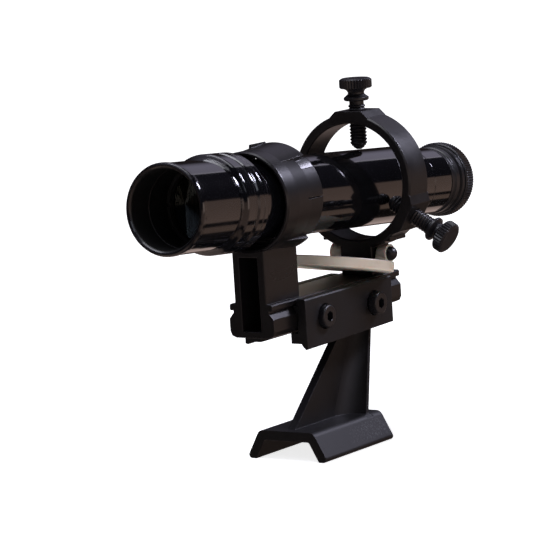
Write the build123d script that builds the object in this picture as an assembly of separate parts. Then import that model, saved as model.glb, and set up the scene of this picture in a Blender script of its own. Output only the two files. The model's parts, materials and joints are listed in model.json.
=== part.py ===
from build123d import *
import os
from math import cos, pi, radians, sin, sqrt

# Finder scope on its dovetail stand. Millimetres, +Z up, +Y from the objective to the eyepiece.
# The origin is the middle of the stand's foot, in the plane of its two flange bottoms.

# Foot: a hollow male dovetail that slides into a telescope's finder shoe.
FOOT_LENGTH = 38.4
FOOT_HEIGHT = 9.0
FOOT_TOP_HALF = 9.9
FOOT_BASE_HALF = 14.9
FOOT_WALL = 3.0

# Stalk between the foot and the shoe: a thin web that spreads out to two rear edges.
# Each pair is its value at the foot's top and at the shoe's underside.
WEB_HALF = 1.35
WEB_FRONT_Y = (-16.0, 13.6)
FLARE_START_Y = (5.5, 18.5)
STALK_REAR_Y = (14.4, 25.5)
STALK_HALF = (8.6, 4.4)
STALK_RIM = 1.3

# Shoe: a C channel that the bracket's bar slides in.
SHOE_FRONT_Y = -21.3
SHOE_REAR_Y = 27.4
SHOE_HALF = 11.4
SHOE_BASE_Z = 35.0
SHOE_BASE_RISE = 1.0
SHOE_LEFT_BASE_Z = 36.0
SHOE_LIP_Z = 36.8
SHOE_FLOOR_Z = 40.0
SHOE_TOP_Z = 50.5
SHOE_INNER_HALF = 8.3
SHOE_SLOT_HALF = 5.6

# Clamp screws through the shoe's right wall: y, z and how far each is backed off.
CLAMP_SCREWS = {"front": (-10.8, 43.8, 0.0), "rear": (16.8, 43.5, 1.0)}
CLAMP_R = 2.0
CLAMP_HEAD_R = 3.5
CLAMP_HEAD_BASE = -1.2
CLAMP_HEAD_TOP = 1.5
CLAMP_SOCKET_R = 1.7
COUNTERBORE_R = 3.9
COUNTERBORE_DEPTH = 1.2

# Bracket: bar, plate, front post and collar.
BAR_FRONT_Y = -33.6
BAR_REAR_Y = 38.3
BAR_HALF = 8.0
BAR_BASE_Z = 40.3
NECK_HALF = 6.4
PLATE_HALF = 7.7
PLATE_TOP_Z = 50.6
POST_HALF = 5.8
POST_REAR_Y = -15.6
COLLAR_Z = 81.1
COLLAR_FRONT_Y = -33.1
COLLAR_BAND_END_Y = -16.0
FINGER_END_Y = -13.1
COLLAR_R = 15.5
FINGER_R = 15.2
COLLAR_BORE_R = 13.4
COLLAR_MOUTH_R = 14.3
PAD_R = 16.4
PAD_HALF_ANGLE = 40.0
POCKET_HALF_ANGLE = 7.0
POCKET_FLOOR_R = 13.95
POCKET_FRONT_Y = -20.2
O_RING_GROOVE_R = 14.15

# Rear ring with its three bosses.
RING_Z = 79.9
RING_FRONT_Y = 25.7
RING_REAR_Y = 36.6
RING_R = 21.4
RING_BORE_R = 18.4
RING_MID_Y = (RING_FRONT_Y + RING_REAR_Y) / 2
BOSS_TOP_R = 22.2
RING_SCREW_Y = 33.2

# Thumb screws, measured along their own axis from the tip.
THREAD_R = 2.7
THREAD_PITCH = 1.05
THREAD_DEPTH = 0.42
THREAD_CLEARANCE = 0.06
FLANGE_START = 15.3
FLANGE_R = 3.95
NECK_R = 2.6
KNOB_START = 19.2
KNOB_END = 22.4
KNOB_R = 5.15
KNOB_TEETH = 34
TOOTH_DEPTH = 0.42
TIP_LENGTH = 1.0
# Each screw: angle of its axis from straight up, its tip's distance from the ring's centre,
# and the extra length of its thread.
THUMB_SCREWS = {"top": (0.0, 9.9, 0.0), "right": (120.0, 12.25, 1.7), "left": (-120.0, 15.05, 0.0)}

# Rocker: a flat disc forked around the rear post and hinged on the cross screw.
ROCKER_R = 18.0
ROCKER_THICK = 3.2
ROCKER_CENTRE = (0.0, 14.3, 55.8)
ROCKER_PITCH = 12.3
HINGE_Y = 29.4
HINGE_Z = 57.1
CROSS_R = 1.25
CROSS_HEAD_R = 2.3
EAR_GAP = 6.3
EAR_THICK = 4.0

# Tube: its front rim's centre, and how its axis leans. Stations below run along it from that rim.
TUBE_FRONT = (1.29, -75.68, 84.95)
TUBE_PITCH = 4.12
TUBE_YAW = -1.5
TUBE_R = 12.2
TUBE_BORE_R = 11.2
SHIELD_R = 13.5
SHIELD_END = 20.4
CELL_R = 15.0
LENS_R = 12.2
SPIGOT_R = 12.9
SPIGOT_FRONT = 16.0
EYE_BORE_R = 8.6
BARREL_R = 8.52
BARREL_BORE_R = 7.5
KNURL_R = 12.1
KNURL_TEETH = 90

PIVOT_Y = -23.7
PIVOT_Z = 81.2

RIGHT = (1, 0, 0)
BACK = (0, 1, 0)


def save(node, shape):
    """Write one node as its own STEP file, refusing a shape that is not closed solids."""
    solids = shape.solids()
    if not solids or any(not solid.is_valid for solid in solids):
        raise ValueError(f"{node} is not a valid solid")
    whole = solids[0] if len(solids) == 1 else Compound(children=list(solids))
    whole.label = node
    export_step(whole, f"parts/{node}.step")


def cross_section(outline, y0, y1):
    """Extrude an outline drawn in X and Z along Y."""
    plane = Plane((0, y0, 0), x_dir=RIGHT, z_dir=(0, -1, 0))
    return extrude(plane * outline, amount=y1 - y0, dir=BACK)


def side_section(outline, x0, x1):
    """Extrude an outline drawn in Y and Z along X."""
    plane = Plane((x0, 0, 0), x_dir=BACK, z_dir=RIGHT)
    return extrude(plane * outline, amount=x1 - x0)


def outline_of(points):
    """A closed face through the points."""
    return make_face(Polyline(*points, close=True))


def box_between(low, high):
    """An axis-aligned box between two corners."""
    size = [b - a for a, b in zip(low, high)]
    middle = [(a + b) / 2 for a, b in zip(low, high)]
    return Pos(*middle) * Box(*size)


def turned(profile):
    """Revolve (radius, station) points about the local Z axis."""
    face = make_face(Polyline(*[(r, 0, s) for r, s in profile], close=True))
    return revolve(face, axis=Axis.Z)


def sleeve(inner, outer, s0, s1):
    """A plain ring between two stations."""
    return turned([(inner, s0), (outer, s0), (outer, s1), (inner, s1)])


def along_y(x, z, shape):
    """Place a shape turned about Z so that its stations become Y."""
    return Plane((x, 0, z), x_dir=RIGHT, z_dir=BACK) * shape


def mirrored_points(half):
    """Close a right-hand half outline with its left-hand mirror."""
    return half + [(-x, z) for x, z in reversed(half)]


# ---- Stand ----------------------------------------------------------------------------------


def foot():
    """Hollow dovetail channel, open below."""
    lean = (FOOT_BASE_HALF - FOOT_TOP_HALF) / FOOT_HEIGHT
    wall = FOOT_WALL * sqrt(1 + lean * lean)
    inner_top = FOOT_HEIGHT - FOOT_WALL
    outer = outline_of(mirrored_points([(FOOT_BASE_HALF, 0), (FOOT_TOP_HALF, FOOT_HEIGHT)]))
    outer = fillet(outer.vertices().sort_by(Axis.Y)[2:], 2.4)
    outer = fillet(outer.vertices().sort_by(Axis.Y)[:2], 1.1)
    base_inner = FOOT_BASE_HALF - wall
    inner = outline_of(
        mirrored_points([(base_inner + lean, -1), (base_inner - lean * inner_top, inner_top)])
    )
    inner = fillet(inner.vertices().sort_by(Axis.Y)[2:], 1.0)
    half = FOOT_LENGTH / 2
    channel = cross_section(outer, -half, half) - cross_section(inner, -half - 1, half + 1)
    notch = Plane((FOOT_TOP_HALF + 0.4, half - 6.5, FOOT_HEIGHT - 0.6), z_dir=(0.6, 0, 0.8)) * Box(
        2.0, 3.5, 0.6
    )
    return channel - notch


def stalk_plan(z):
    """Front edge, start of the flare, rear edge and half-width of the stalk at a height."""
    share = (z - FOOT_HEIGHT) / (SHOE_BASE_Z + 1 - FOOT_HEIGHT)
    spans = (WEB_FRONT_Y, FLARE_START_Y, STALK_REAR_Y, STALK_HALF)
    return [low + (high - low) * share for low, high in spans]


def stalk_face(z):
    """Plan section: the web, two concave sides and the rear edges."""
    front, start, rear, half = stalk_plan(z)
    rim = rear - STALK_RIM
    bend = (WEB_HALF + 0.14 * (half - WEB_HALF), rim - 0.16 * (rim - start))
    edges = [
        Line((-WEB_HALF, front), (WEB_HALF, front)),
        Line((WEB_HALF, front), (WEB_HALF, start)),
        Bezier((WEB_HALF, start), bend, (half, rim)),
        Line((half, rim), (half, rear)),
        Line((half, rear), (-half, rear)),
        Line((-half, rear), (-half, rim)),
        Bezier((-half, rim), (-bend[0], bend[1]), (-WEB_HALF, start)),
        Line((-WEB_HALF, start), (-WEB_HALF, front)),
    ]
    return Pos(0, 0, z) * make_face(edges)


def core_face(z):
    """Plan section of the hollow behind the flare, open to the rear."""
    _, start, rear, half = stalk_plan(z)
    nose = start + 0.42 * (rear - start)
    side = half - 1.5
    bend = (0.16 * side, rear - 0.10 * (rear - nose))
    edges = [
        Line((-0.3, nose), (0.3, nose)),
        Bezier((0.3, nose), bend, (side, rear + 0.2)),
        Line((side, rear + 0.2), (-side, rear + 0.2)),
        Bezier((-side, rear + 0.2), (-bend[0], bend[1]), (-0.3, nose)),
    ]
    return Pos(0, 0, z) * make_face(edges)


def stalk():
    """Web with its flare, cored from the rear."""
    body = loft([stalk_face(FOOT_HEIGHT - 0.6), stalk_face(SHOE_BASE_Z + 2.4)], ruled=True)
    core = loft([core_face(FOOT_HEIGHT + 0.8), core_face(SHOE_BASE_Z + 0.8)], ruled=True)
    return body - core


def shoe():
    """C channel: two walls, dovetail lips above, floor lips below and a closed middle."""
    inside = [
        (SHOE_HALF, SHOE_TOP_Z - 0.4),
        (SHOE_HALF - 0.4, SHOE_TOP_Z),
        (SHOE_INNER_HALF, SHOE_TOP_Z),
        (SHOE_INNER_HALF, 48.4),
        (6.8, 48.3),
        (6.8, 47.9),
        (SHOE_INNER_HALF, 46.2),
        (SHOE_INNER_HALF, SHOE_FLOOR_Z),
        (SHOE_SLOT_HALF, SHOE_FLOOR_Z),
        (SHOE_SLOT_HALF, SHOE_LIP_Z),
    ]
    right_foot = [(9.2, SHOE_LIP_Z), (9.9, 35.8), (10.8, SHOE_BASE_Z), (SHOE_HALF, SHOE_BASE_Z + 0.4)]
    left_foot = [(9.6, SHOE_LIP_Z), (10.4, SHOE_LEFT_BASE_Z), (SHOE_HALF, SHOE_LEFT_BASE_Z + 0.2)]
    right = cross_section(outline_of(right_foot + inside), SHOE_FRONT_Y, SHOE_REAR_Y)
    left_outline = outline_of([(-x, z) for x, z in left_foot + inside])
    left = cross_section(left_outline, SHOE_FRONT_Y, SHOE_REAR_Y)
    floor_low = (-SHOE_SLOT_HALF - 0.5, 8.0, SHOE_LIP_Z)
    floor_high = (SHOE_SLOT_HALF + 0.5, SHOE_REAR_Y - 0.4, SHOE_FLOOR_Z)
    body = right + left + box_between(floor_low, floor_high)
    rise = [
        (SHOE_FRONT_Y - 1, SHOE_BASE_Z - 2),
        (SHOE_FRONT_Y - 1, SHOE_BASE_Z),
        (SHOE_REAR_Y + 1, SHOE_BASE_Z + SHOE_BASE_RISE),
        (SHOE_REAR_Y + 1, SHOE_BASE_Z - 2),
    ]
    body -= side_section(outline_of(rise), 8.0, SHOE_HALF + 1)
    for y, z, _ in CLAMP_SCREWS.values():
        face = Pos(SHOE_HALF, y, z) * Rot(0, 90, 0)
        body -= face * Cylinder(CLAMP_R, 10)
        body -= face * Cylinder(COUNTERBORE_R, 2 * COUNTERBORE_DEPTH)
    return body


# ---- Clamp screws ---------------------------------------------------------------------------


def clamp_screw():
    """Cap screw along local Z, its tip towards -Z."""
    shank = turned(
        [
            (0, CLAMP_HEAD_TOP),
            (3.1, CLAMP_HEAD_TOP),
            (CLAMP_HEAD_R - 0.12, CLAMP_HEAD_TOP - 0.15),
            (CLAMP_HEAD_R, CLAMP_HEAD_TOP - 0.45),
            (CLAMP_HEAD_R, CLAMP_HEAD_BASE + 0.2),
            (CLAMP_HEAD_R - 0.2, CLAMP_HEAD_BASE),
            (CLAMP_R - 0.08, CLAMP_HEAD_BASE),
            (CLAMP_R - 0.08, -2.5),
            (CLAMP_R - 0.4, -3.0),
            (0, -3.0),
        ]
    )
    hexagon = RegularPolygon(CLAMP_SOCKET_R, 6, rotation=30)
    socket = Pos(0, 0, CLAMP_HEAD_TOP - 1.9) * extrude(hexagon, amount=3)
    tip_bore = Pos(0, 0, -2.5) * Cylinder(0.78, 2.2)
    return shank - socket - tip_bore


def clamp_tip():
    """Soft pad on the clamp screw's end, on the same stations."""
    pad = turned([(0, -3.6), (1.3, -3.6), (1.6, -3.3), (1.6, -3.05), (0, -3.05)])
    spigot = turned([(0, -3.2), (0.7, -3.2), (0.7, -1.6), (0, -1.6)])
    return pad + spigot


def clamp_place(y, z, backed_off):
    """Stations run along +X from just outside the shoe's right face."""
    return Plane((SHOE_HALF + 0.3 + backed_off, y, z), x_dir=BACK, z_dir=RIGHT)


# ---- Bracket --------------------------------------------------------------------------------


def bar_and_plate():
    """Dovetail bar with the plate on its neck, in one outline."""
    half = [
        (5.9, BAR_BASE_Z),
        (7.4, BAR_BASE_Z + 0.6),
        (BAR_HALF, BAR_BASE_Z + 2.0),
        (BAR_HALF, 46.1),
        (NECK_HALF, 47.9),
        (NECK_HALF, 48.6),
        (PLATE_HALF - 0.3, 48.6),
        (PLATE_HALF, 48.9),
        (PLATE_HALF, PLATE_TOP_Z - 0.4),
        (PLATE_HALF - 0.4, PLATE_TOP_Z),
    ]
    return cross_section(outline_of(mirrored_points(half)), BAR_FRONT_Y, BAR_REAR_Y)


def front_post():
    """Post from the plate up into the collar's underside."""
    low = (-POST_HALF, BAR_FRONT_Y, PLATE_TOP_Z - 1)
    high = (POST_HALF, POST_REAR_Y, COLLAR_Z - COLLAR_BORE_R - 0.9)
    post = box_between(low, high)
    return fillet(post.edges().filter_by(Axis.Z), 0.5)


def post_core():
    """Moulded recess in the front of the post, running down into the bar."""
    core = box_between((-3.4, BAR_FRONT_Y - 1, 42.2), (3.4, BAR_FRONT_Y + 12.5, 64.8))
    return fillet(core.edges().filter_by(Axis.Z).sort_by(Axis.Y)[2:], 1.0)


def sector(angle, half_width, radius, y0, y1):
    """Wedge of a cylinder about the collar's axis, centred on an angle from straight up."""
    a0 = radians(angle - half_width)
    a1 = radians(angle + half_width)
    reach = radius / cos(radians(half_width))
    points = [(0, 0), (reach * sin(a0), reach * cos(a0)), (reach * sin(a1), reach * cos(a1))]
    return Pos(0, 0, COLLAR_Z) * cross_section(outline_of(points), y0, y1)


def collar():
    """Split collar: a raised pad above and below, a pocket beside the upper one, slit fingers."""
    band = along_y(
        0,
        COLLAR_Z,
        turned(
            [
                (COLLAR_MOUTH_R + 0.4, COLLAR_FRONT_Y),
                (COLLAR_R - 0.4, COLLAR_FRONT_Y),
                (COLLAR_R, COLLAR_FRONT_Y + 0.7),
                (COLLAR_R, -27.0),
                (FINGER_R, -20.0),
                (FINGER_R, FINGER_END_Y - 0.6),
                (FINGER_R - 0.6, FINGER_END_Y),
                (COLLAR_BORE_R + 0.3, FINGER_END_Y),
                (COLLAR_BORE_R, FINGER_END_Y - 0.5),
                (COLLAR_BORE_R, PIVOT_Y + 1.6),
                (O_RING_GROOVE_R, PIVOT_Y + 1.6),
                (O_RING_GROOVE_R, PIVOT_Y - 1.6),
                (COLLAR_BORE_R, PIVOT_Y - 1.6),
                (COLLAR_BORE_R, -28.0),
                (COLLAR_MOUTH_R, -29.0),
                (COLLAR_MOUTH_R, COLLAR_FRONT_Y + 0.4),
            ]
        ),
    )
    pad_ring = along_y(
        0,
        COLLAR_Z,
        turned(
            [
                (FINGER_R - 0.5, -27.5),
                (COLLAR_R - 0.02, -27.5),
                (PAD_R, COLLAR_BAND_END_Y - 1.0),
                (PAD_R, COLLAR_BAND_END_Y),
                (FINGER_R - 0.5, COLLAR_BAND_END_Y),
            ]
        ),
    )
    for angle in (0, 180):
        band += pad_ring & sector(angle, PAD_HALF_ANGLE, PAD_R + 2, -28, COLLAR_BAND_END_Y)
        band -= sector(angle, PAD_HALF_ANGLE, PAD_R + 2, COLLAR_BAND_END_Y, FINGER_END_Y + 1)
    pocket_ring = along_y(
        0,
        COLLAR_Z,
        turned(
            [
                (POCKET_FLOOR_R, POCKET_FRONT_Y),
                (PAD_R + 2, POCKET_FRONT_Y),
                (PAD_R + 2, FINGER_END_Y - 0.8),
                (FINGER_R + 0.05, FINGER_END_Y - 0.8),
            ]
        ),
    )
    for side in (-1, 1):
        beside = side * (PAD_HALF_ANGLE + POCKET_HALF_ANGLE)
        band -= pocket_ring & sector(beside, POCKET_HALF_ANGLE, PAD_R + 2, POCKET_FRONT_Y, FINGER_END_Y)
        band -= Pos(side * 14.5, (-21.5 + FINGER_END_Y + 1) / 2, COLLAR_Z + 0.2) * Box(
            5, FINGER_END_Y + 1 + 21.5, 0.5
        )
    rib = along_y(0, COLLAR_Z, turned([(15.6, -24.0), (16.9, -23.4), (16.9, -16.2), (15.9, -16.0)]))
    return band + (rib & sector(-12, 2.0, PAD_R + 2, -25, -15))


def slide_bracket():
    """Bar, plate, post and collar as one moulding."""
    bore_low = COLLAR_FRONT_Y - 2
    body = bar_and_plate() + front_post() - post_core()
    clear = along_y(0, COLLAR_Z, Pos(0, 0, (bore_low - 12) / 2) * Cylinder(COLLAR_R - 0.6, 24))
    body -= clear
    body += collar()
    body -= Pos(0, RING_SCREW_Y, 45) * Cylinder(1.6, 30)
    countersink = turned([(0, -1), (3.2, -1), (3.2, 0.5), (1.6, 2.1), (0, 2.1)])
    return body - Pos(0, RING_SCREW_Y, BAR_BASE_Z) * countersink


# ---- Rear ring ------------------------------------------------------------------------------


def ring_direction(angle):
    """Unit direction out of the ring at an angle from straight up, towards +X."""
    return (sin(radians(angle)), 0, cos(radians(angle)))


def boss(angle):
    """Raised pad on the ring for one thumb screw."""
    half = [(7.0, 19.2), (7.0, 20.2), (4.8, BOSS_TOP_R)]
    solid = cross_section(outline_of(mirrored_points(half)), RING_FRONT_Y, RING_REAR_Y)
    return Pos(0, 0, RING_Z) * Rot(0, angle, 0) * solid


def thumb_plane(angle, distance):
    """Stations run outward along a thumb screw's axis from its tip."""
    d = ring_direction(angle)
    origin = (d[0] * distance, RING_MID_Y, RING_Z + d[2] * distance)
    return Plane(origin, x_dir=BACK, z_dir=d)


def rear_ring():
    """Ring, post and saddle tab as one casting on the plate."""
    low = (-POST_HALF, RING_FRONT_Y, PLATE_TOP_Z)
    high = (POST_HALF, RING_REAR_Y - 0.3, RING_Z - RING_BORE_R - 0.6)
    post = fillet(box_between(low, high).edges().filter_by(Axis.Z), 0.5)
    tab = box_between((-12.4, RING_FRONT_Y + 0.8, 61.3), (12.4, RING_REAR_Y - 0.8, 62.7))
    bevel = 0.5
    outer = along_y(
        0,
        RING_Z,
        turned(
            [
                (0, RING_FRONT_Y),
                (RING_R - bevel, RING_FRONT_Y),
                (RING_R, RING_FRONT_Y + bevel),
                (RING_R, RING_REAR_Y - bevel),
                (RING_R - bevel, RING_REAR_Y),
                (0, RING_REAR_Y),
            ]
        ),
    )
    body = outer + post + tab
    for angle, *_ in THUMB_SCREWS.values():
        body += boss(angle)
    bore = along_y(
        0,
        RING_Z,
        turned(
            [
                (0, RING_FRONT_Y - 1),
                (RING_BORE_R + 1.4, RING_FRONT_Y - 1),
                (RING_BORE_R, RING_FRONT_Y + 0.4),
                (RING_BORE_R, RING_REAR_Y - 0.4),
                (RING_BORE_R + 1.4, RING_REAR_Y + 1),
                (0, RING_REAR_Y + 1),
            ]
        ),
    )
    body -= bore
    for angle, *_ in THUMB_SCREWS.values():
        body -= thumb_plane(angle, 20.3) * Cylinder(THREAD_R + THREAD_CLEARANCE, 8)
    body -= Pos(0, HINGE_Y, HINGE_Z) * Rot(0, 90, 0) * Cylinder(CROSS_R + 0.03, 20)
    body -= Pos(0, RING_SCREW_Y, PLATE_TOP_Z + 2.0) * Cylinder(1.25, 6)
    return body


def ring_screw():
    """Countersunk screw that holds the ring's post down on the plate, from below."""
    shank = turned(
        [
            (0, 0.15),
            (2.9, 0.15),
            (2.9, 0.45),
            (1.25, 2.1),
            (1.25, 14.6),
            (0, 14.6),
        ]
    )
    slot = Pos(0, 0, 0.2) * Box(8, 0.8, 1.6)
    return Pos(0, RING_SCREW_Y, BAR_BASE_Z) * (shank - slot)


def hinge_line(shape):
    """Stations run along +X through the rocker's hinge."""
    return Plane((0, HINGE_Y, HINGE_Z), x_dir=BACK, z_dir=RIGHT) * shape


def cross_pin():
    """Pin across the rear post: a round head on the right, a low peened end on the left."""
    outer = EAR_GAP + EAR_THICK + 0.05
    head = Pos(0, 0, outer) * (Sphere(CROSS_HEAD_R) & Pos(0, 0, 3) * Cylinder(3, 6))
    shank = Cylinder(CROSS_R, 2 * outer + 0.2)
    peen = turned([(0, -0.5), (1.2, -0.45), (1.8, -0.1), (1.8, 0), (0, 0)])
    return hinge_line(head + shank + Pos(0, 0, -outer) * peen)


def rocker_disc():
    """Disc, notched round the rear post, with an ear each side for the cross screw."""
    disc = Cylinder(ROCKER_R, ROCKER_THICK)
    disc = fillet(disc.edges().filter_by(GeomType.CIRCLE), 0.5)
    tilt = radians(ROCKER_PITCH)
    plane = Plane(ROCKER_CENTRE, x_dir=RIGHT, z_dir=(0, sin(tilt), cos(tilt)))
    middle = EAR_GAP + EAR_THICK / 2
    for side in (-1, 1):
        arm = Pos(side * middle, 11.6, 0) * Box(EAR_THICK, 8.6, ROCKER_THICK)
        disc += fillet(arm.edges().filter_by(Axis.Y), 0.4)
    rear_trim = Pos(0, 15.9 + 10, 0) * Box(40, 20, 10)
    body = plane * (disc - rear_trim)
    ear = outline_of([(25.4, 53.6), (29.6, 52.3), (31.4, 56.1), (29.4, 58.0), (27.35, 56.9)])
    boss_right = hinge_line(Pos(0, 0, middle) * Cone(2.0, 3.0, EAR_THICK))
    for side in (-1, 1):
        x0, x1 = sorted((side * EAR_GAP, side * (EAR_GAP + EAR_THICK)))
        lug = side_section(ear, x0, x1)
        lug += boss_right if side > 0 else mirror(boss_right, about=Plane.YZ)
        body += lug
    body -= box_between((-EAR_GAP, 24.0, 45), (EAR_GAP, 40, 70))
    return body - hinge_line(Cylinder(CROSS_R + 0.07, 40))


# ---- Thumb screws ---------------------------------------------------------------------------


def toothed_disc(radius, teeth, depth, s0, s1):
    """Disc with a straight knurl of pointed teeth."""
    points = []
    for i in range(2 * teeth):
        r = radius if i % 2 == 0 else radius - depth
        a = pi * i / teeth
        points.append((r * cos(a), r * sin(a)))
    return Pos(0, 0, s0) * extrude(outline_of(points), amount=s1 - s0)


def thumb_screw(extra):
    """Turned screw: grooved thread, coned flange, waisted neck and knurled knob."""
    root = THREAD_R - THREAD_DEPTH
    flange = FLANGE_START + extra
    knob = KNOB_START + extra
    top = KNOB_END + extra
    profile = [(0.97, TIP_LENGTH + 0.05), (2.1, TIP_LENGTH + 0.05), (root, 1.4)]
    station = 1.5
    while station + THREAD_PITCH < flange - 0.3:
        profile.append((root, station))
        profile.append((THREAD_R, station + 0.45 * THREAD_PITCH))
        profile.append((THREAD_R, station + 0.60 * THREAD_PITCH))
        station += THREAD_PITCH
    profile += [
        (root, station),
        (root, flange),
        (FLANGE_R - 0.35, flange),
        (FLANGE_R, flange + 0.35),
        (FLANGE_R, flange + 1.0),
        (NECK_R + 0.5, flange + 1.65),
        (NECK_R, flange + 2.1),
        (NECK_R, knob - 1.2),
        (NECK_R + 0.4, knob - 0.6),
        (NECK_R + 1.3, knob - 0.1),
        (KNOB_R - TOOTH_DEPTH, knob),
        (KNOB_R - TOOTH_DEPTH, top - 0.4),
        (KNOB_R - 1.0, top),
        (0, top),
        (0, 3.2),
        (0.97, 3.2),
    ]
    knurl = toothed_disc(KNOB_R, KNOB_TEETH, TOOTH_DEPTH, knob, top - 0.15)
    rim = turned(
        [
            (0, knob - 1),
            (KNOB_R - 1.5, knob - 1),
            (KNOB_R + 0.2, knob + 0.5),
            (KNOB_R + 0.2, top - 0.75),
            (KNOB_R - 1.3, top + 0.35),
            (0, top + 0.35),
        ]
    )
    return turned(profile) + (knurl & rim)


def thumb_tip():
    """Chamfered tip that presses on the tube, on a spigot in the screw's end."""
    return turned(
        [
            (0, 0),
            (0.8, 0),
            (1.7, 0.6),
            (1.8, TIP_LENGTH),
            (0.9, TIP_LENGTH),
            (0.9, 3.0),
            (0, 3.0),
        ]
    )


# ---- Tube -----------------------------------------------------------------------------------


def tube_direction():
    """Unit direction of the tube's axis, objective to eyepiece."""
    pitch = radians(TUBE_PITCH)
    yaw = radians(TUBE_YAW)
    return (sin(yaw) * cos(pitch), cos(yaw) * cos(pitch), -sin(pitch))


def on_tube(shape):
    """Place a shape whose stations run along the tube."""
    yaw = radians(TUBE_YAW)
    return Plane(TUBE_FRONT, x_dir=(cos(yaw), -sin(yaw), 0), z_dir=tube_direction()) * shape


def dew_shield():
    """Front shade with a rolled lip, screwed over the cell's spigot."""
    return turned(
        [
            (12.0, 0.6),
            (12.5, 0.1),
            (13.0, 0),
            (13.5, 0.2),
            (13.7, 0.7),
            (13.7, 1.6),
            (SHIELD_R, 2.0),
            (SHIELD_R, SHIELD_END),
            (SPIGOT_R, SHIELD_END),
            (SPIGOT_R, SPIGOT_FRONT),
            (12.0, SPIGOT_FRONT),
            (12.0, 10.0),
            (11.8, 10.0),
            (11.8, 9.4),
            (12.0, 9.4),
        ]
    )


def objective_cell():
    """Stepped cell with its grip groove, holding the objective between shade and tube."""
    return turned(
        [
            (LENS_R, SPIGOT_FRONT),
            (SPIGOT_R, SPIGOT_FRONT),
            (SPIGOT_R, SHIELD_END),
            (SHIELD_R, SHIELD_END),
            (SHIELD_R + 0.1, SHIELD_END + 0.5),
            (CELL_R - 0.25, SHIELD_END + 1.2),
            (CELL_R, SHIELD_END + 1.6),
            (CELL_R, 26.0),
            (CELL_R - 0.45, 26.4),
            (CELL_R - 0.45, 27.5),
            (CELL_R, 27.9),
            (CELL_R, 30.3),
            (CELL_R - 0.12, 30.45),
            (CELL_R, 30.6),
            (CELL_R, 32.6),
            (CELL_R - 0.4, 33.0),
            (TUBE_R, 33.0),
            (TUBE_R, 28.0),
            (10.9, 28.0),
            (10.9, 27.0),
            (LENS_R, 27.0),
        ]
    )


def cap_arc(radius_of_curvature, centre_bulge_station, edge_radius, outward):
    """Arc of a lens face from the axis to its edge, in radius and station."""
    sag = radius_of_curvature - sqrt(radius_of_curvature**2 - edge_radius**2)
    half = radius_of_curvature - sqrt(radius_of_curvature**2 - (edge_radius / 2) ** 2)
    edge = centre_bulge_station + outward * sag
    middle = centre_bulge_station + outward * half
    return (0, centre_bulge_station), (edge_radius / 2, middle), (edge_radius, edge)


def lens(front, rear):
    """Revolve a lens between two face arcs, given front first."""
    f0, f1, f2 = [(r, 0, s) for r, s in front]
    r0, r1, r2 = [(r, 0, s) for r, s in rear]
    edges = [ThreePointArc(f0, f1, f2), Line(f2, r2), ThreePointArc(r2, r1, r0), Line(r0, f0)]
    return revolve(make_face(edges), axis=Axis.Z)


def objective_retaining_ring():
    """Threaded ring that holds the objective in its cell."""
    ring = sleeve(11.2, LENS_R, 19.0, 21.1)
    for angle in (0, 180):
        ring -= Rot(0, 0, angle) * Pos(11.7, 0, 19.3) * Box(1.6, 1.2, 1.2)
    return ring


def main_tube():
    """Body tube with a rolled-in rear shoulder."""
    return turned(
        [
            (TUBE_BORE_R, 28.0),
            (TUBE_R, 28.0),
            (TUBE_R, 129.3),
            (TUBE_R - 0.7, 130.0),
            (TUBE_BORE_R, 130.0),
        ]
    )


def tube_baffle():
    """Flanged stop ring in the middle of the tube."""
    return turned(
        [
            (8.4, 74.0),
            (TUBE_BORE_R, 74.0),
            (TUBE_BORE_R, 79.0),
            (TUBE_BORE_R - 0.7, 79.0),
            (TUBE_BORE_R - 0.7, 74.8),
            (8.4, 74.8),
        ]
    )


def rear_tube():
    """Narrower tail plugged into the body tube."""
    return turned(
        [
            (9.4, 122.0),
            (TUBE_BORE_R, 122.0),
            (TUBE_BORE_R, 130.0),
            (10.6, 130.0),
            (10.6, 137.9),
            (10.45, 138.1),
            (10.0, 138.1),
            (10.0, 142.0),
            (9.4, 142.0),
        ]
    )


def eyepiece_housing():
    """Tail socket whose bore carries the focusing thread."""
    return turned(
        [
            (10.0, 138.1),
            (10.45, 138.1),
            (10.6, 138.3),
            (10.6, 148.6),
            (10.3, 149.0),
            (EYE_BORE_R, 149.0),
            (EYE_BORE_R, 142.0),
            (10.0, 142.0),
        ]
    )


def eyepiece_barrel():
    """Sliding lens barrel with its stepped neck and the journal for the focus ring."""
    return turned(
        [
            (BARREL_BORE_R, 131.0),
            (BARREL_R, 131.0),
            (BARREL_R, 149.3),
            (10.5, 149.3),
            (10.5, 151.2),
            (10.9, 151.5),
            (10.9, 153.4),
            (10.4, 153.6),
            (10.4, 154.2),
            (11.3, 154.6),
            (11.3, 156.2),
            (9.4, 156.2),
            (9.4, 159.6),
            (BARREL_BORE_R, 159.6),
        ]
    )


def focus_ring():
    """Finely knurled ring that turns on the barrel's journal."""
    core = sleeve(9.46, KNURL_R - 0.55, 156.4, 161.0)
    knurl = toothed_disc(KNURL_R, KNURL_TEETH, 0.4, 156.6, 160.8)
    lead = turned(
        [(0, 156.0), (11.0, 156.0), (12.9, 157.9), (12.9, 159.5), (11.0, 161.4), (0, 161.4)]
    )
    return core + ((knurl & lead) - Pos(0, 0, 158) * Cylinder(10.5, 10))


def crosshair_cell():
    """Field stop with two crossed wires, at the eyepiece's focus."""
    ring = sleeve(6.6, BARREL_BORE_R, 132.0, 134.0)
    wire = Pos(0, 0, 133.0) * Box(13.6, 0.14, 0.14)
    return ring + wire + Rot(0, 0, 90) * wire


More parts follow.
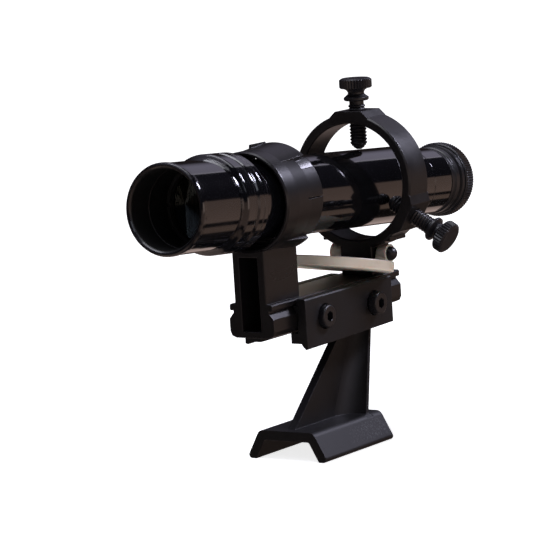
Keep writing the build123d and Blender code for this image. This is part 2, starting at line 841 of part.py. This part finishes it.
def eye_retainer():
    """Cap ring that holds the eye lens and keeps the focus ring on."""
    return turned(
        [
            (5.6, 159.9),
            (5.6, 160.4),
            (7.0, 161.3),
            (9.9, 161.3),
            (9.9, 161.1),
            (9.3, 161.1),
            (9.3, 159.6),
            (BARREL_BORE_R, 159.6),
            (BARREL_BORE_R, 158.6),
            (6.9, 158.6),
            (6.9, 159.9),
        ]
    )


def pivot_o_ring():
    """Rubber ring in the collar's groove that the tube swivels in."""
    return Plane((0, PIVOT_Y, PIVOT_Z), x_dir=RIGHT, z_dir=BACK) * Torus(13.18, 0.8)


# ---- Write every node -----------------------------------------------------------------------

os.makedirs("parts", exist_ok=True)

save("stand", foot() + stalk() + shoe())
for where, station in CLAMP_SCREWS.items():
    save(f"clamp_screw_{where}", clamp_place(*station) * clamp_screw())
    save(f"clamp_tip_{where}", clamp_place(*station) * clamp_tip())

save("slide_bracket", slide_bracket())
save("rear_ring", rear_ring())
save("ring_screw", ring_screw())
save("cross_pin", cross_pin())
save("rocker_disc", rocker_disc())

for where, (angle, distance, extra) in THUMB_SCREWS.items():
    save(f"thumb_screw_{where}", thumb_plane(angle, distance) * thumb_screw(extra))
    save(f"thumb_tip_{where}", thumb_plane(angle, distance) * thumb_tip())

save("pivot_o_ring", pivot_o_ring())
save("dew_shield", on_tube(dew_shield()))
save("objective_cell", on_tube(objective_cell()))
save("objective_retaining_ring", on_tube(objective_retaining_ring()))
crown_faces = (cap_arc(75, 20.3, LENS_R, 1), cap_arc(55, 24.27, LENS_R, -1))
save("crown_lens", on_tube(lens(*crown_faces)))
save("lens_spacer", on_tube(sleeve(11.6, LENS_R, 23.05, 23.3)))
flint_faces = (cap_arc(55, 24.67, LENS_R, -1), cap_arc(900, 26.9, LENS_R, 1))
save("flint_lens", on_tube(lens(*flint_faces)))
save("main_tube", on_tube(main_tube()))
save("tube_baffle", on_tube(tube_baffle()))
save("rear_tube", on_tube(rear_tube()))
save("eyepiece_housing", on_tube(eyepiece_housing()))
save("eyepiece_barrel", on_tube(eyepiece_barrel()))
save("crosshair_cell", on_tube(crosshair_cell()))
field_faces = (cap_arc(22, 138.4, BARREL_BORE_R, 1), cap_arc(400, 142.0, BARREL_BORE_R, -1))
save("field_lens", on_tube(lens(*field_faces)))
save("eyepiece_spacer", on_tube(sleeve(6.8, BARREL_BORE_R, 142.0, 154.2)))
eye_faces = (cap_arc(400, 154.2, BARREL_BORE_R, 1), cap_arc(18, 159.8, BARREL_BORE_R, -1))
save("eye_lens", on_tube(lens(*eye_faces)))
save("eye_retainer", on_tube(eye_retainer()))
save("focus_ring", on_tube(focus_ring()))
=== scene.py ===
import json
from math import cos, radians, sin

import bmesh
import bpy
from mathutils import Matrix, Vector

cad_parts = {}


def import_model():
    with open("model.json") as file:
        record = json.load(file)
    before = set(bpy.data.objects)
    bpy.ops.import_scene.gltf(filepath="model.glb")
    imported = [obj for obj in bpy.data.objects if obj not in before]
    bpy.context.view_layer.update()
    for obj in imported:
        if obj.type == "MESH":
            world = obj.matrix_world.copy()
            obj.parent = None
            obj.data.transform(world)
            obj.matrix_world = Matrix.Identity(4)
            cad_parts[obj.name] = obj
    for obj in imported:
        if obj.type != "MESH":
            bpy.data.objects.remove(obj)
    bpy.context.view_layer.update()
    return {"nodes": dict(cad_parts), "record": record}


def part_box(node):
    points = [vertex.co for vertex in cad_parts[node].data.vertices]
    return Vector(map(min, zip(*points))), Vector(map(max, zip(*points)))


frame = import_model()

# Finder scope: materials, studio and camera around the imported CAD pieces. Metres and degrees.

MM = 0.001
NODES = frame["nodes"]
RECORD = frame["record"]

# Camera: where it stands, which way it looks and leans, and its lens in millimetres.
CAMERA_AT = (0.55525, -0.82568, 0.19642)
CAMERA_AZIMUTH = 34.54
CAMERA_ELEVATION = 8.11
CAMERA_ROLL = 3.57
CAMERA_LENS = 212.5
SENSOR = 36.0
NEAREST_SEEN = 0.01
FURTHEST_SEEN = 50.0

# Studio: half the floor's side, the point that the lights face, and the fill's colour and strength.
FLOOR_REACH = 6.0
LIGHTS_FACE = (0.0, 0.0, 0.07)
WHITE = (1.0, 1.0, 1.0)
FILL_COLOUR = (0.75, 0.74, 0.85)
FILL_STRENGTH = 0.22

# Radii of the bores, which are painted flat black inside, and how far outside them the paint
# starts and ends giving way to the lacquer.
SHADE_BORE = 12.0 * MM
CELL_BORE = 12.3 * MM
TUBE_BORE = 11.2 * MM
PAINT_FADES_FROM = 0.1 * MM
PAINT_FADES_TO = 0.6 * MM

# The dusty patch on the foot: where each soft border starts, and where it ends in full dust.
PATCH_INNER_X = (10.2 * MM, 11.2 * MM)
PATCH_FRONT_Y = (-4.0 * MM, 6.0 * MM)
PATCH_REAR_Y = (18.5 * MM, 16.5 * MM)
PATCH_LOW_Z = (1.8 * MM, 3.0 * MM)
PATCH_HIGH_Z = (8.5 * MM, 7.2 * MM)

# Refractive indices, and the lacquer's clear coat.
PAINT_IOR = 1.5
PLASTIC_IOR = 1.47
GLASS_IOR = 1.52
COAT_WEIGHT = 0.6
COAT_ROUGHNESS = 0.05

# How far the rounded and the true normal agree on flats and on edges. Most of a noise lies
# between its low and its high.
BEVEL_SAMPLES = 6
FLAT_AGREEMENT = 0.985
EDGE_AGREEMENT = 0.80
NOISE_LOW = 0.3
NOISE_HIGH = 0.7


# ---- Node helpers ---------------------------------------------------------------------------


class Nodes:
    """A node tree, emptied, with short ways to add and join nodes."""

    def __init__(self, tree):
        self.tree = tree
        tree.nodes.clear()

    def add(self, kind, **settings):
        """A new node with its settings."""
        node = self.tree.nodes.new(kind)
        for key, value in settings.items():
            setattr(node, key, value)
        return node

    def join(self, source, target):
        """Link an output to an input."""
        self.tree.links.new(source, target)

    def span(self, value, low, high, out_low, out_high):
        """Map a value from one range to another, clamped."""
        node = self.add("ShaderNodeMapRange")
        node.inputs["From Min"].default_value = low
        node.inputs["From Max"].default_value = high
        node.inputs["To Min"].default_value = out_low
        node.inputs["To Max"].default_value = out_high
        self.join(value, node.inputs["Value"])
        return node.outputs["Result"]

    def share(self, value, low, high):
        """Nought at one end of a range and one at the other, clamped."""
        return self.span(value, low, high, 0.0, 1.0)

    def math(self, kind, *terms):
        """One arithmetic step on numbers and sockets."""
        node = self.add("ShaderNodeMath", operation=kind)
        for socket, term in zip(node.inputs, terms):
            if isinstance(term, (int, float)):
                socket.default_value = term
            else:
                self.join(term, socket)
        return node.outputs["Value"]

    def split(self, vector):
        """The X, Y and Z of a vector."""
        node = self.add("ShaderNodeSeparateXYZ")
        self.join(vector, node.inputs["Vector"])
        return node.outputs

    def background(self, colour, strength=1.0):
        """Light from all round; the colour is a tuple or a socket."""
        node = self.add("ShaderNodeBackground")
        node.inputs["Strength"].default_value = strength
        if isinstance(colour, tuple):
            node.inputs["Color"].default_value = (*colour, 1.0)
        else:
            self.join(colour, node.inputs["Color"])
        return node.outputs["Background"]

    def choose(self, share, first, second):
        """The first shader where the share is nought, the second where it is one."""
        node = self.add("ShaderNodeMixShader")
        self.join(share, node.inputs["Fac"])
        self.join(first, node.inputs[1])
        self.join(second, node.inputs[2])
        return node.outputs["Shader"]


class Finish(Nodes):
    """A material round one main shader, with what the finishes are mixed from."""

    def __init__(self, name):
        self.material = bpy.data.materials.new(name)
        self.material.use_nodes = True
        super().__init__(self.material.node_tree)
        self.out = self.add("ShaderNodeOutputMaterial")
        self.main = self.add("ShaderNodeBsdfPrincipled")
        self.join(self.main.outputs["BSDF"], self.out.inputs["Surface"])
        self.place = self.add("ShaderNodeTexCoord").outputs["Object"]

    def noise(self, scale, detail=3.0, rough=0.55, stretch=None):
        """Noise over the object, scale in features per metre, stretched along an axis if asked."""
        node = self.add("ShaderNodeTexNoise")
        node.inputs["Scale"].default_value = scale
        node.inputs["Detail"].default_value = detail
        node.inputs["Roughness"].default_value = rough
        place = self.place
        if stretch:
            mapping = self.add("ShaderNodeMapping")
            mapping.inputs["Scale"].default_value = stretch
            self.join(place, mapping.inputs["Vector"])
            place = mapping.outputs["Vector"]
        self.join(place, node.inputs["Vector"])
        return node.outputs["Fac"]

    def varied(self, noise, low, high):
        """A value that a noise takes from low to high."""
        return self.span(noise, NOISE_LOW, NOISE_HIGH, low, high)

    def blend(self, share, first, second):
        """Mix two colours, each a tuple or a socket."""
        node = self.add("ShaderNodeMix", data_type="RGBA")
        self.join(share, node.inputs["Factor"])
        for name, colour in (("A", first), ("B", second)):
            socket = [s for s in node.inputs if s.name == name and s.type == "RGBA"][0]
            if isinstance(colour, tuple):
                socket.default_value = (*colour, 1.0)
            else:
                self.join(colour, socket)
        return [s for s in node.outputs if s.type == "RGBA"][0]

    def soft_edges(self, radius):
        """Normal that makes hard edges look rounded over a radius."""
        node = self.add("ShaderNodeBevel", samples=BEVEL_SAMPLES)
        node.inputs["Radius"].default_value = radius
        return node.outputs["Normal"]

    def edge_mask(self, radius):
        """One on convex and concave edges, nought on flats."""
        geometry = self.add("ShaderNodeNewGeometry")
        agreement = self.add("ShaderNodeVectorMath", operation="DOT_PRODUCT")
        self.join(self.soft_edges(radius), agreement.inputs[0])
        self.join(geometry.outputs["Normal"], agreement.inputs[1])
        return self.share(agreement.outputs["Value"], FLAT_AGREEMENT, EDGE_AGREEMENT)

    def relief(self, height, strength, depth, normal=None):
        """Bump from a height, on top of a normal."""
        node = self.add("ShaderNodeBump")
        node.inputs["Strength"].default_value = strength
        node.inputs["Distance"].default_value = depth
        self.join(height, node.inputs["Height"])
        if normal is not None:
            self.join(normal, node.inputs["Normal"])
        return node.outputs["Normal"]

    def set(self, **values):
        """Give the main shader's sockets a number, a colour or a link each; returns the material."""
        for key, value in values.items():
            socket = self.main.inputs[key.replace("_", " ")]
            if hasattr(value, "is_output"):
                self.join(value, socket)
            elif isinstance(value, tuple):
                socket.default_value = (*value, 1.0)
            else:
                socket.default_value = value
        return self.material


# ---- Gloss lacquer --------------------------------------------------------------------------


def smeared_gloss(look):
    """The lacquer's roughness, a little higher where it is smeared."""
    return look.span(look.noise(scale=60, detail=2.0), 0.35, 0.7, out_low=0.07, out_high=0.13)


def orange_peel(look, edge_radius):
    """The lacquer's faint waves, over edges that look rounded."""
    waves = look.noise(scale=420, detail=1.0)
    return look.relief(waves, strength=0.12, depth=0.03 * MM, normal=look.soft_edges(edge_radius))


def gloss_lacquer():
    """Deep gloss black lacquer: faint orange peel, smears and a little dust."""
    look = Finish("gloss_lacquer")
    dust = look.share(look.noise(scale=2600, rough=0.6), low=0.66, high=0.78)
    colour = look.blend(dust, (0.0018, 0.0018, 0.0024), (0.008, 0.008, 0.009))
    rough = look.math("ADD", smeared_gloss(look), look.math("MULTIPLY", dust, 0.12))
    peel = orange_peel(look, 0.22 * MM)
    return look.set(Base_Color=colour, Roughness=rough, Normal=peel, IOR=PAINT_IOR,
                    Coat_Weight=COAT_WEIGHT, Coat_Roughness=COAT_ROUGHNESS)


def tube_axis():
    """A point on the tube's axis and the axis' direction, from the lenses at its two ends."""
    ends = []
    for node in ("crown_lens", "eye_lens"):
        low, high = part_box(node)
        ends.append((low + high) / 2)
    return ends[0], (ends[1] - ends[0]).normalized()


def radius_from_axis(look):
    """Distance from the tube's axis."""
    start, direction = tube_axis()
    offset = look.add("ShaderNodeVectorMath", operation="SUBTRACT")
    look.join(look.place, offset.inputs[0])
    offset.inputs[1].default_value = start
    across = look.add("ShaderNodeVectorMath", operation="CROSS_PRODUCT")
    look.join(offset.outputs["Vector"], across.inputs[0])
    across.inputs[1].default_value = direction
    length = look.add("ShaderNodeVectorMath", operation="LENGTH")
    look.join(across.outputs["Vector"], length.inputs[0])
    return length.outputs["Value"]


def lacquer_painted_inside(name, bore):
    """Gloss lacquer outside, flat black paint in the bore."""
    look = Finish(name)
    radius = radius_from_axis(look)
    outside = look.share(radius, bore + PAINT_FADES_FROM, bore + PAINT_FADES_TO)
    paint_adds = 0.42
    inside_rough = look.math("ADD", smeared_gloss(look), paint_adds)
    rough = look.math("ADD", look.math("MULTIPLY", outside, -paint_adds), inside_rough)
    colour = look.blend(outside, (0.0012, 0.0011, 0.0012), (0.002, 0.002, 0.0027))
    coat = look.math("MULTIPLY", outside, COAT_WEIGHT)
    peel = orange_peel(look, 0.7 * MM)
    return look.set(Base_Color=colour, Roughness=rough, Normal=peel, IOR=PAINT_IOR,
                    Coat_Weight=coat, Coat_Roughness=COAT_ROUGHNESS)


# ---- Castings, moulding and steel -----------------------------------------------------------


def rubbed_edges(look, radius, patches, low, high, least=0.0, most=1.0):
    """Wear on the edges, more where a noise is high."""
    return look.math("MULTIPLY", look.edge_mask(radius), look.span(patches, low, high, least, most))


def satin_paint():
    """Satin black paint on a casting: fine grain, rubbed edges."""
    look = Finish("satin_paint")
    cloud = look.noise(scale=90, detail=4.0)
    wear = rubbed_edges(look, 0.3 * MM, look.noise(scale=700), 0.45, 0.62)
    paint = look.blend(cloud, (0.0024, 0.0021, 0.0023), (0.0052, 0.0042, 0.0044))
    colour = look.blend(wear, paint, (0.034, 0.032, 0.035))
    rough = look.varied(cloud, 0.30, 0.40)
    grain = look.noise(scale=3200, rough=0.6)
    skin = look.relief(grain, strength=0.35, depth=0.04 * MM, normal=look.soft_edges(0.3 * MM))
    return look.set(Base_Color=colour, Roughness=rough, Normal=skin, IOR=PAINT_IOR,
                    Specular_IOR_Level=0.3)


def moulded_plastic():
    """Semi-gloss black moulding: soft sheen, flow marks, slightly lighter moulded edges."""
    look = Finish("moulded_plastic")
    flow = look.noise(scale=70, rough=0.5, stretch=(1.0, 0.35, 1.0))
    wear = look.math("MULTIPLY", look.edge_mask(0.25 * MM), 0.5)
    plastic = look.blend(flow, (0.0024, 0.0021, 0.0023), (0.005, 0.0040, 0.0042))
    colour = look.blend(wear, plastic, (0.030, 0.028, 0.032))
    rough = look.varied(flow, 0.25, 0.33)
    grain = look.noise(scale=4200, detail=2.0)
    skin = look.relief(grain, strength=0.22, depth=0.03 * MM, normal=look.soft_edges(0.28 * MM))
    return look.set(Base_Color=colour, Roughness=rough, Normal=skin, IOR=PAINT_IOR,
                    Specular_IOR_Level=0.3)


def dusty_patch(look):
    """Specks of dust on the rear half of the foot's right flange."""
    x, y, z = look.split(look.place)
    right = look.share(x, *PATCH_INNER_X)
    rear = look.math("MULTIPLY", look.share(y, *PATCH_FRONT_Y), look.share(y, *PATCH_REAR_Y))
    band = look.math("MULTIPLY", look.share(z, *PATCH_LOW_Z), look.share(z, *PATCH_HIGH_Z))
    specks = look.share(look.noise(scale=1500, detail=5.0, rough=0.7), low=0.50, high=0.66)
    flange = look.math("MULTIPLY", right, rear)
    return look.math("MULTIPLY", flange, look.math("MULTIPLY", band, specks))


def cast_foot_paint():
    """The stand's satin paint, with a dusty scuffed patch on the foot."""
    look = Finish("cast_foot_paint")
    cloud = look.noise(scale=90, detail=4.0)
    patch = dusty_patch(look)
    wear = rubbed_edges(look, 0.3 * MM, look.noise(scale=650), 0.45, 0.62)
    paint = look.blend(cloud, (0.0022, 0.002, 0.0023), (0.0050, 0.0042, 0.0046))
    worn = look.blend(wear, paint, (0.032, 0.031, 0.034))
    colour = look.blend(look.math("MULTIPLY", patch, 0.75), worn, (0.10, 0.105, 0.12))
    rough = look.math("ADD", look.varied(cloud, 0.44, 0.56), look.math("MULTIPLY", patch, 0.25))
    grain = look.noise(scale=3000, rough=0.6)
    skin = look.relief(grain, strength=0.35, depth=0.04 * MM, normal=look.soft_edges(0.35 * MM))
    return look.set(Base_Color=colour, Roughness=rough, Normal=skin, IOR=PAINT_IOR,
                    Specular_IOR_Level=0.22)


def blackened_steel():
    """Blackened steel: fine grain, slightly brightened edges."""
    look = Finish("blackened_steel")
    cloud = look.noise(scale=260)
    grain = look.noise(scale=5200, detail=2.0)
    wear = rubbed_edges(look, 0.12 * MM, grain, 0.45, 0.6, least=0.1, most=0.6)
    steel = look.blend(cloud, (0.0026, 0.0024, 0.0034), (0.0055, 0.005, 0.0066))
    colour = look.blend(wear, steel, (0.036, 0.036, 0.044))
    rough = look.varied(cloud, 0.30, 0.40)
    skin = look.relief(grain, strength=0.2, depth=0.02 * MM, normal=look.soft_edges(0.12 * MM))
    return look.set(Base_Color=colour, Roughness=rough, Normal=skin, IOR=PAINT_IOR,
                    Specular_IOR_Level=0.35)


def anodised_black():
    """Black anodised aluminium: fine grain, lighter edges."""
    look = Finish("anodised_black")
    cloud = look.noise(scale=140)
    wear = look.math("MULTIPLY", look.edge_mask(0.15 * MM), 0.5)
    metal = look.blend(cloud, (0.0025, 0.0024, 0.003), (0.0052, 0.0049, 0.006))
    colour = look.blend(wear, metal, (0.04, 0.039, 0.045))
    rough = look.varied(cloud, 0.28, 0.38)
    grain = look.noise(scale=4200, detail=2.0)
    skin = look.relief(grain, strength=0.2, depth=0.02 * MM, normal=look.soft_edges(0.15 * MM))
    return look.set(Base_Color=colour, Roughness=rough, Normal=skin, IOR=PAINT_IOR,
                    Specular_IOR_Level=0.35)


# ---- Small parts ----------------------------------------------------------------------------


def grained(name, scale, colours, rough, strength):
    """A plain finish: one noise gives its two colours, its roughness and its grain."""
    look = Finish(name)
    grain = look.noise(scale=scale)
    skin = look.relief(grain, strength=strength, depth=0.03 * MM)
    return look.set(Base_Color=look.blend(grain, *colours), Roughness=look.varied(grain, *rough),
                    Normal=skin)


def matt_black():
    """Flat black paint on the rings and spacers inside the tube."""
    colours = ((0.002, 0.002, 0.002), (0.006, 0.006, 0.006))
    return grained("matt_black", scale=2500, colours=colours, rough=(0.75, 0.9), strength=0.4)


def rubber():
    """Matt black rubber."""
    colours = ((0.008, 0.008, 0.008), (0.016, 0.016, 0.016))
    return grained("rubber", scale=2200, colours=colours, rough=(0.6, 0.75), strength=0.3)


def nylon():
    """The clamp tips' natural nylon."""
    colours = ((0.70, 0.68, 0.60), (0.80, 0.78, 0.71))
    return grained("nylon", scale=900, colours=colours, rough=(0.4, 0.55), strength=0.1)


def ivory_plastic():
    """Smooth ivory moulding, a little translucent and slightly soiled."""
    look = Finish("ivory_plastic")
    cloud = look.noise(scale=110, detail=4.0)
    soil = look.span(look.noise(scale=380, detail=5.0, rough=0.65), 0.55, 0.75, 0.0, 0.35)
    clean = look.blend(cloud, (0.46, 0.39, 0.31), (0.54, 0.47, 0.39))
    colour = look.blend(soil, clean, (0.36, 0.27, 0.18))
    waves = look.noise(scale=1800, detail=2.0)
    skin = look.relief(waves, strength=0.15, depth=0.03 * MM, normal=look.soft_edges(0.3 * MM))
    return look.set(Base_Color=colour, Roughness=look.varied(cloud, 0.38, 0.5), Normal=skin,
                    Subsurface_Weight=0.25, Subsurface_Scale=2.0 * MM, IOR=PLASTIC_IOR)


def coated_glass_painted_dark():
    """Lens glass that hardly reflects, tinted faintly green-blue and darkened as painted shade for the
    deep bore.
    """
    look = Finish("coated_glass_painted_dark")
    smear = look.noise(scale=180)
    # Painted shade: the glass's colour is darkened so that the bore looks black.
    colour = look.blend(smear, (0.26, 0.33, 0.32), (0.30, 0.36, 0.36))
    rough = look.span(smear, 0.4, 0.7, 0.0, 0.03)
    return look.set(Base_Color=colour, Roughness=rough, Transmission_Weight=1.0, IOR=GLASS_IOR,
                    Specular_IOR_Level=0.08)


# ---- Which piece has which finish -----------------------------------------------------------

BY_SLOT = {
    "cast_black": satin_paint(),
    "moulded_black": moulded_plastic(),
    "gloss_black": gloss_lacquer(),
    "anodised_black": anodised_black(),
    "matt_black": matt_black(),
    "black_oxide": blackened_steel(),
    "white_nylon": nylon(),
    "rubber": rubber(),
    "cream_plastic": ivory_plastic(),
    "lens_glass": coated_glass_painted_dark(),
}
BY_NODE = {
    "stand": cast_foot_paint(),
    "dew_shield": lacquer_painted_inside("shade_lacquer", SHADE_BORE),
    "objective_cell": lacquer_painted_inside("cell_lacquer", CELL_BORE),
    "main_tube": lacquer_painted_inside("tube_lacquer", TUBE_BORE),
}

for part in RECORD["subparts"]:
    slots = NODES[part["node"]].data.materials
    slots.clear()
    slots.append(BY_NODE.get(part["node"]) or BY_SLOT[part["material_slot"]])


# ---- Studio ---------------------------------------------------------------------------------


def softbox(name, at, size, power, colour):
    """Rectangular area light that faces the object."""
    lamp = bpy.data.lights.new(name, "AREA")
    lamp.shape = "RECTANGLE"
    lamp.size, lamp.size_y = size
    lamp.energy = power
    lamp.color = colour
    obj = bpy.data.objects.new(name, lamp)
    bpy.context.scene.collection.objects.link(obj)
    direction = Vector(LIGHTS_FACE) - Vector(at)
    obj.matrix_world = Matrix.Translation(at) @ direction.to_track_quat("-Z", "Y").to_matrix().to_4x4()
    return obj


def paper():
    """White paper that glows a little less under the object, and that reflections look past."""
    look = Finish("floor_paper")
    reach = look.add("ShaderNodeVectorMath", operation="LENGTH")
    look.join(look.place, reach.inputs[0])
    glow = look.span(reach.outputs["Value"], low=0.06, high=0.30, out_low=0.80, out_high=1.05)
    look.set(Base_Color=(0.93, 0.93, 0.93), Roughness=0.9, Emission_Color=WHITE,
             Emission_Strength=glow, Specular_IOR_Level=0.0)
    in_gloss = look.add("ShaderNodeLightPath").outputs["Is Glossy Ray"]
    clear = look.add("ShaderNodeBsdfTransparent").outputs["BSDF"]
    look.join(look.choose(in_gloss, look.main.outputs["BSDF"], clear), look.out.inputs["Surface"])
    return look.material


def floor():
    """The flat floor that the object stands on."""
    mesh = bpy.data.meshes.new("floor")
    build = bmesh.new()
    corners = ((-1, -1), (1, -1), (1, 1), (-1, 1))
    build.faces.new([build.verts.new((x * FLOOR_REACH, y * FLOOR_REACH, 0.0)) for x, y in corners])
    build.to_mesh(mesh)
    build.free()
    obj = bpy.data.objects.new("floor", mesh)
    bpy.context.scene.collection.objects.link(obj)
    obj.data.materials.append(paper())


# The room seen in the gloss, by angle round the Y axis: 0 is the right and 90 is up.
ROOM_TONES = (
    (-180, (0.03, 0.02, 0.018)),
    (-142, (0.10, 0.07, 0.06)),
    (-138, (0.60, 0.46, 0.42)),
    (-106, (0.50, 0.37, 0.33)),
    (-103, (0.012, 0.009, 0.008)),
    (-74, (0.012, 0.009, 0.008)),
    (-71, (0.28, 0.19, 0.15)),
    (-58, (0.28, 0.19, 0.15)),
    (-56, (0.012, 0.009, 0.008)),
    (-48, (0.012, 0.009, 0.008)),
    (-46, (0.42, 0.29, 0.24)),
    (8, (0.36, 0.25, 0.21)),
    (10, (0.014, 0.013, 0.018)),
    (93, (0.020, 0.019, 0.028)),
    (94.5, (0.85, 0.82, 0.95)),
    (96, (0.85, 0.82, 0.95)),
    (97.5, (0.50, 0.47, 0.60)),
    (128, (0.34, 0.32, 0.42)),
    (150, (0.02, 0.016, 0.018)),
    (180, (0.012, 0.008, 0.007)),
)


def room_tones(nodes):
    """Colour of the room in each direction, in bands along the Y axis."""
    direction = nodes.add("ShaderNodeTexCoord").outputs["Generated"]
    x, _, z = nodes.split(direction)
    angle = nodes.math("ARCTAN2", z, x)
    ramp = nodes.add("ShaderNodeValToRGB")
    nodes.join(nodes.share(angle, radians(-180), radians(180)), ramp.inputs["Fac"])
    stops = ramp.color_ramp.elements
    ready_made = len(stops)
    for i, (degrees, tone) in enumerate(ROOM_TONES):
        position = (degrees + 180) / 360
        stop = stops[i] if i < ready_made else stops.new(position)
        stop.position = position
        stop.color = (*tone, 1.0)
    return ramp.outputs["Color"]


def world():
    """White behind the object, the room's bands in the gloss, a soft fill on everything else."""
    sky = bpy.data.worlds.new("studio")
    sky.use_nodes = True
    nodes = Nodes(sky.node_tree)
    behind = nodes.background(WHITE)
    fill = nodes.background(FILL_COLOUR, FILL_STRENGTH)
    gloss = nodes.background(room_tones(nodes))
    ray = nodes.add("ShaderNodeLightPath").outputs
    lit = nodes.choose(ray["Is Glossy Ray"], fill, gloss)
    out = nodes.add("ShaderNodeOutputWorld")
    nodes.join(nodes.choose(ray["Is Camera Ray"], lit, behind), out.inputs["Surface"])
    bpy.context.scene.world = sky


def camera():
    """Camera at the viewing angle, rolled a little."""
    data = bpy.data.cameras.new("camera")
    data.lens = CAMERA_LENS
    data.sensor_width = SENSOR
    data.clip_start = NEAREST_SEEN
    data.clip_end = FURTHEST_SEEN
    obj = bpy.data.objects.new("camera", data)
    bpy.context.scene.collection.objects.link(obj)
    azimuth, elevation, roll = (radians(v) for v in (CAMERA_AZIMUTH, CAMERA_ELEVATION, CAMERA_ROLL))
    back = Vector((sin(azimuth) * cos(elevation), -cos(azimuth) * cos(elevation), sin(elevation)))
    level_right = Vector((cos(azimuth), sin(azimuth), 0.0))
    level_up = back.cross(level_right)
    right = level_right * cos(roll) - level_up * sin(roll)
    up = level_up * cos(roll) + level_right * sin(roll)
    obj.matrix_world = Matrix.Translation(CAMERA_AT) @ Matrix((right, up, back)).transposed().to_4x4()
    bpy.context.scene.camera = obj


softbox("key_top", at=(-0.05, -0.12, 0.62), size=(0.45, 0.30), power=2.4, colour=(0.90, 0.91, 1.0))
softbox("warm_card", at=(0.62, -0.10, 0.10), size=(0.70, 0.22), power=0.45, colour=(1.0, 0.80, 0.72))
softbox("cool_side", at=(0.55, -0.45, 0.50), size=(0.20, 0.30), power=0.4, colour=(0.80, 0.85, 1.0))
sheen = softbox("sheen", at=(0.34, 0.32, 0.46), size=(0.22, 0.12), power=8.5, colour=(0.80, 0.79, 1.0))
sheen.visible_diffuse = False
floor()
world()
camera()

bpy.context.scene.view_settings.view_transform = "Standard"
